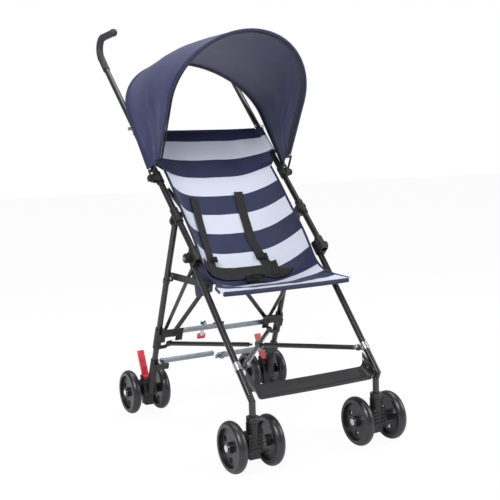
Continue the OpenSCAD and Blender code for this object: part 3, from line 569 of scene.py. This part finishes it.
def sleeve(side):
    """Cloth folded round the push tube and sewn to the seat's upper corner."""
    name = "seat_sleeve_right" if side > 0 else "seat_sleeve_left"
    top, length = 0.452, 0.10
    way = (on_push(1, side) - on_push(0, side)).normalized()
    out = Vector((side, 0, 0))
    out = (out - way * out.dot(way)).normalized()
    up = way.cross(out)

    def place(s, t):
        turn = 2 * math.pi * s
        r = 0.0100 + 0.0004 * noise.noise(Vector((s * 6 * (s < 0.99), t * 9, side)))
        r += 0.0011 * math.exp(-((t - 0.02) / 0.02) ** 2)
        return on_push(top - t * length, side) + (out * math.cos(turn) + up * math.sin(turn)) * r

    piece = grid_piece(name, 32, 40, place, lambda s, t: (s * 0.066, t * length + 0.003))
    modify(piece, "SOLIDIFY", thickness=0.0012, offset=-1 if side > 0 else 1)
    piece = settle(piece, name, SEAT_CLOTH, "side_right" if side > 0 else "side_left", 60)


def make_bindings():
    """Rolled hems along the sides, front and top of the sling."""
    for side, name in ((1, "seat_binding_right"), (-1, "seat_binding_left")):
        line = [on_seat(side * half_width(a), a, 0.0006) for a in
                [5.0 + k * (LAST - 5.15) / 26 for k in range(27)]]
        squeezed(tube_along(name, line, 0.0032, HEM_CLOTH, "side_right"))
    front = [on_seat(x / 1000, LAST, -0.001) + Vector((0, -0.001, -0.0015)) for x in range(-176, 177, 22)]
    squeezed(tube_along("seat_front_hem", front, 0.0058, HEM_CLOTH, "side_right"))
    top = [on_seat(x / 1000, 0.0, 0.001) for x in range(-176, 177, 22)]
    squeezed(tube_along("seat_top_hem", top, 0.0036, HEM_CLOTH, "side_right"))


def make_side_panels():
    """Cloth wings that close the gap between the sling's edge and its hanging middle."""
    for side, name in ((1, "seat_wing_right"), (-1, "seat_wing_left")):
        def place(s, t):
            a = 10.2 + 4.2 * s
            top, low = rounded(a, lambda r: r[1]), rounded(a, lambda r: r[0])
            low = low + Vector((0.006, -0.016)) * math.sin(math.pi * s)
            p = top + (low - top) * t
            bulge = 0.004 * math.sin(math.pi * t) * math.sin(math.pi * s)
            bulge += 0.002 * noise.noise(Vector((s * 6, t * 4, side)))
            return here(side * (half_width(a) - 0.0015 + bulge - 0.010 * t * t), p.x, p.y)

        piece = grid_piece(name, 30, 24, place, lambda s, t: (s * 0.13, t * 0.10))
        modify(piece, "SOLIDIFY", thickness=0.0016, offset=0)
        piece = settle(piece, name, HEM_CLOTH, "side_right", 60)
        squeezed(piece)


# ---------------------------------------------------------------- harness
def webbing(name, line, width, lift=0.0045):
    """Flat webbing laid on the seat: line gives x and row place at each step along it."""
    def place(s, t):
        k = t * (len(line) - 1)
        i = min(int(k), len(line) - 2)
        f = k - i
        x = line[i][0] + (line[i + 1][0] - line[i][0]) * f
        a = line[i][1] + (line[i + 1][1] - line[i][1]) * f
        ahead = min(i + 1, len(line) - 2)
        dx = line[ahead + 1][0] - line[max(i - 1, 0)][0]
        dv = (line[ahead + 1][1] - line[max(i - 1, 0)][1]) * 0.04
        size = math.hypot(dx, dv) or 1
        off = (s - 0.5) * width
        ripple = 0.0004 * math.sin(t * 40)
        return on_seat(x - off * dv / size, a + off * dx / size / 0.04, lift + ripple)

    steps = max(12, len(line) * 5)
    piece = grid_piece(name, 6, steps, place, lambda s, t: (s * width, t * steps * 0.008))
    modify(piece, "SOLIDIFY", thickness=WEBBING_THICK, offset=1)
    return settle(piece, name, WEBBING, "side_right", 50)


def block(name, centre, size, bevel, material, body, turn, inset):
    """A moulded block: a cube at its size, its top inset and pressed, its edges rounded."""
    deselect()
    bpy.ops.mesh.primitive_cube_add(size=1, location=centre, rotation=turn)
    piece = bpy.context.object
    piece.scale = size
    bpy.ops.object.transform_apply(location=False, rotation=False, scale=True)
    bpy.ops.object.mode_set(mode="EDIT")
    made = bmesh.from_edit_mesh(piece.data)
    for face in made.faces:
        face.select_set(face.normal.z > 0.9)
    bmesh.update_edit_mesh(piece.data)
    bpy.ops.mesh.inset(thickness=inset, depth=-inset * 0.35)
    bpy.ops.object.mode_set(mode="OBJECT")
    modify(piece, "BEVEL", width=bevel, segments=3, limit_method="ANGLE")
    return settle(piece, name, material, body, 40)


SHOULDER_LINES = {
    "shoulder_strap_right": [(0.054, 6.1), (0.047, 7.6), (0.044, 9.1), (0.054, 10.0), (0.068, 10.9)],
    "shoulder_strap_left": [(-0.088, 6.5), (-0.095, 7.8), (-0.100, 9.2), (-0.102, 10.2), (-0.102, 11.2)],
}
WAIST_ROW = 11.15
BUCKLE_X, BUCKLE_ROW = 0.016, 11.75


def clip(name, x, row, lift, size, bevel, material, tilt, turn, inset):
    """A moulded clip that lies on the webbing and moves with the cloth."""
    piece = block(name, on_seat(x, row, lift), size, bevel, material, "side_right",
                  turn=(math.radians(tilt), 0, math.radians(turn)), inset=inset)
    squeezed(piece)
    return piece


def make_harness():
    """Two shoulder straps, a waist strap and a crotch strap, with sliders, buckle and loops."""
    made = [webbing(name, line, STRAP) for name, line in SHOULDER_LINES.items()]
    waist = [(x / 1000, WAIST_ROW + 0.9 * max(0, x - 60) / 50) for x in range(-140, 113, 12)]
    made.append(webbing("waist_strap", waist, WAIST_STRAP, lift=0.0065))
    crotch = [(0.012 * k / 8, 13.3 - 1.4 * k / 8) for k in range(9)]
    made.append(webbing("crotch_strap", crotch, STRAP, lift=0.005))
    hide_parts("harness")
    for piece in made:
        squeezed(piece)
    for x, row, name in ((0.056, 10.15, "strap_slider_right"), (-0.102, 10.35, "strap_slider_left")):
        clip(name, x, row, 0.0085, (0.034, 0.018, 0.0035), 0.0012, PLASTIC, 42, -8, 0.004)
    buckle = clip("harness_buckle", BUCKLE_X, BUCKLE_ROW, 0.016, (0.056, 0.034, 0.011), 0.003,
                  PLASTIC, 18, -12, 0.007)
    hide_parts("buckle")
    clip("buckle_button", BUCKLE_X, BUCKLE_ROW, 0.0222, (0.020, 0.014, 0.003), 0.0012, TYRE, 18, -12, 0.003)
    for x, name in ((0.074, "belt_loop_right"), (-0.125, "belt_loop_left")):
        squeezed(webbing(name, [(x + 0.003 * k, WAIST_ROW) for k in range(6)], 0.040, lift=0.0088))


# ---------------------------------------------------------------- footrest
def make_footrest():
    """A wide flat strap under the feet whose ends turn up and are riveted to the front legs."""
    half, turn_up = 0.163, 0.014

    def place(s, t):
        x = (s - 0.5) * 2 * (half + 0.02)
        over = max(0.0, abs(x) - (half - turn_up))
        side = 1 if x > 0 else -1
        lift = over if over < turn_up else turn_up
        y = -0.266 - 0.043 * t
        z = 0.186 - 0.018 * t - 0.0016 * math.cos(x / half * 1.4)
        if over:
            bend = min(over / turn_up, 1.0)
            x = side * (half - turn_up + turn_up * math.sin(bend * math.pi / 2) * 0.98)
            z += turn_up * (1 - math.cos(bend * math.pi / 2)) + max(0, over - turn_up) * (1.0 - 0.75 * t)
            y -= (0.5 - t) * -0.006 * bend
        z -= 0.004 * max(0.0, (t - 0.8) / 0.2) ** 2
        return here(x, y, z)

    piece = grid_piece("footrest_strap", 90, 14, place, lambda s, t: (t * 0.047, s * 0.38))
    modify(piece, "SOLIDIFY", thickness=0.0028, offset=0)
    piece = settle(piece, "footrest_strap", FOOT_STRAP, "side_right", 50)
    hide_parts("footrest")
    squeezed(piece)
    edge = [here((s - 50) / 50 * 0.150, -0.3095, 0.1655) for s in range(0, 101, 10)]
    squeezed(tube_along("footrest_front_roll", edge, 0.0024, FOOT_STRAP, "side_right"))


# ---------------------------------------------------------------- canopy
PIVOT = on_push(0.275)
FRONT = dict(half=0.198, high=0.413, lean=math.radians(27), start=0.0575)
REAR = dict(half=0.208, high=0.420, lean=math.radians(-39), start=0.0325)
FRONT_OVER = math.radians(1.4)   # the cloth reaches this far past each bow
REAR_OVER = math.radians(-1.0)


def arch_point(bow, t, inset=0.0, more=0.0):
    """A place along a bow: straight up, over a half circle, straight down."""
    half, high = bow["half"] - inset, bow["high"] - inset
    straight = high - half
    cut = bow["start"] / (4 * straight)
    t = cut + (1 - 2 * cut) * t
    if t < 0.25:
        x, up = half, t * 4 * straight
    elif t > 0.75:
        x, up = -half, (1 - t) * 4 * straight
    else:
        turn = (t - 0.25) * 2 * math.pi
        x, up = half * math.cos(turn), straight + half * math.sin(turn)
    lean = bow["lean"] + more
    return Vector((x, PIVOT.y - up * math.sin(lean), PIVOT.z + up * math.cos(lean)))


def canopy_point(s, t, inset=0.0):
    """t runs from the front bow to the rear one, s over the arch."""
    front = arch_point(FRONT, s, inset, FRONT_OVER)
    rear = arch_point(REAR, s, inset, REAR_OVER)
    p = front + (rear - front) * t
    middle = math.sin(math.pi * s)
    p += Vector((0, 0.12, 0.99)) * (0.018 * 4 * t * (1 - t) * middle)
    out = Vector((p.x, 0, max(0.0, p.z - PIVOT.z - 0.2)))
    out = out.normalized() if out.length > 1e-6 else Vector((1, 0, 0))
    low = 1 - middle
    wave = noise.noise(Vector((s * 9, t * 2.6, 5.0))) * 0.0035
    wave += noise.noise(Vector((s * 26 + t * 6, t * 7, 9.0))) * 0.0011
    wave += math.sin(t * 21 + s * 5) * 0.0012 * low
    pull = 0.0035 * math.sin(math.pi * t) * (0.35 + low)
    return p + out * (wave * math.sin(math.pi * t) ** 0.5 - pull)


def make_canopy():
    """Navy cloth over the two bows with a paler lining, bound and stitched along both ends."""
    piece = grid_piece("canopy_cloth", 150, 56, canopy_point,
                       lambda s, t: ((t - 0.5) * 0.44, s * 0.98))
    only(piece)
    piece.data.materials.append(CANOPY_CLOTH)
    piece.data.materials.append(LINING)
    bpy.ops.object.mode_set(mode="EDIT")
    bpy.ops.mesh.select_all(action="SELECT")
    bpy.ops.mesh.normals_make_consistent(inside=False)
    bpy.ops.object.mode_set(mode="OBJECT")
    crown = min(piece.data.polygons, key=lambda f: (f.center.x ** 2 + (f.center.y - PIVOT.y) ** 2))
    if crown.normal.z < 0:
        piece.data.flip_normals()
    modify(piece, "SOLIDIFY", thickness=0.0018, offset=-1, material_offset=1, material_offset_rim=0)
    piece = settle(piece, "canopy_cloth", None, "side_right", 60)
    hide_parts("canopy")
    squeezed(piece)
    edges = (("canopy_front_binding", 0.0, 0.0005, 0.0038), ("canopy_rear_binding", 1.0, 0.0005, 0.0038),
             ("canopy_front_seam", 0.035, -0.0006, 0.0009), ("canopy_rear_seam", 0.965, -0.0006, 0.0009))
    for name, at, inset, radius in edges:
        line = [canopy_point(k / 60, at, inset) for k in range(61)]
        squeezed(tube_along(name, line, radius, HEM_CLOTH, "side_right"))


# ---------------------------------------------------------------- small fittings
CAP_DISH = 0.35                  # how deep a cap's face is pressed, as a share of its height


def round_cap(name, centre, way, radius, height, material, body, ridges=0):
    """A turned cap: a cylinder, its face inset and pressed, its rim rounded, and ribs round it."""
    deselect()
    bpy.ops.mesh.primitive_cylinder_add(vertices=48, radius=radius, depth=height)
    piece = bpy.context.object
    bpy.ops.object.mode_set(mode="EDIT")
    made = bmesh.from_edit_mesh(piece.data)
    for face in made.faces:
        face.select_set(face.normal.z > 0.9)
    bmesh.update_edit_mesh(piece.data)
    bpy.ops.mesh.inset(thickness=radius * 0.28, depth=-height * CAP_DISH)
    bpy.ops.mesh.inset(thickness=radius * 0.25, depth=height * CAP_DISH * 0.8)
    bpy.ops.object.mode_set(mode="OBJECT")
    if ridges:
        made = bmesh.new()
        made.from_mesh(piece.data)
        for v in made.verts:
            if math.hypot(v.co.x, v.co.y) > radius * 0.98:
                wave = 1 + 0.035 * math.cos(ridges * math.atan2(v.co.y, v.co.x))
                v.co.x *= wave
                v.co.y *= wave
        made.to_mesh(piece.data)
        made.free()
    modify(piece, "BEVEL", width=min(0.0008, height * 0.2), segments=2, limit_method="ANGLE")
    piece.rotation_mode = "QUATERNION"
    piece.rotation_quaternion = Vector(way).to_track_quat("Z", "Y")
    piece.location = centre
    return settle(piece, name, material, body, 40)


CLAMP_FACE = (0.2074, -0.044, 0.464)                   # outer face of the lower clamp on the right
SNAP_PLACE, SNAP_OUT = 0.466, 0.0175                   # along the push tube, and out from its axis
FOOT_RIVETS = ((-0.268, 0.204), (-0.285, 0.186))
FOOT_RIVET_X = 0.1605


def make_fittings():
    """Knobs, rivets and snaps on both sides of the frame."""
    for side, word in ((1, "right"), (-1, "left")):
        body = "side_" + word
        out = (side, 0, 0)
        outward = Vector(out)
        face = here(side * CLAMP_FACE[0], *CLAMP_FACE[1:])
        round_cap("clamp_knob_" + word, face, out, 0.0105, 0.0022, PLASTIC, body, ridges=12)
        round_cap("clamp_rivet_" + word, face + outward * 0.0016, out, 0.0036, 0.0014, CHROME,
                  body)
        low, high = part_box("canopy_clamp_" + word)
        spot = Vector((side * max(abs(low.x), abs(high.x)), PIVOT.y, PIVOT.z))
        round_cap("canopy_knob_" + word, spot + outward * 0.0006, out, 0.0075, 0.002, PLASTIC,
                  body, ridges=10)
        spot = on_push(SNAP_PLACE, side) + outward * SNAP_OUT
        round_cap("seat_snap_" + word, spot, out, 0.0052, 0.0024, CHROME, body)
        for number, (y, z) in enumerate(FOOT_RIVETS):
            inner = here(side * FOOT_RIVET_X, y, z)
            round_cap(f"footrest_rivet_{word}_{number}", inner, (-side, 0, 0), 0.0038, 0.0016, CHROME,
                      body)


# ---------------------------------------------------------------- finishes of the frame's own parts
FINISHES = [
    (("push_tube", "front_leg", "rear_leg", "front_arm", "rear_arm", "back_tube", "side_tube"), PAINT),
    (("front_wheel", "rear_wheel"), TYRE),
    (("grip",), GRIP),
    (("brake_lever", "foot_lever"), RED),
    (("upper_bar", "lower_bar"), ZINC),
    (("front_axle", "rear_axle", "front_bracket", "seat_pin"), CHROME),
]


def plate_foot_lever(part):
    """The lever's arm is bright steel, and only its tread stays red."""
    only(part)
    part.data.materials.append(CHROME)
    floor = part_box("foot_lever")[0].z
    for face in part.data.polygons:
        spot = part.matrix_world @ face.center
        face.material_index = int(spot.z > floor + LEVER_TIP)


def dress_frame():
    """Gives each part of the frame that stays its own finish."""
    for name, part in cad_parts.items():
        if part.hide_render:
            continue
        finish = PLASTIC
        for starts, material in FINISHES:
            if name.startswith(starts):
                finish = material
        for place in part.material_slots:
            place.material = finish
        if not part.material_slots:
            part.data.materials.append(finish)
        if name == "foot_lever":
            plate_foot_lever(part)


make_seat()
sleeve(1)
sleeve(-1)
make_bindings()
make_side_panels()
make_harness()
make_footrest()
make_canopy()
make_fittings()
dress_frame()
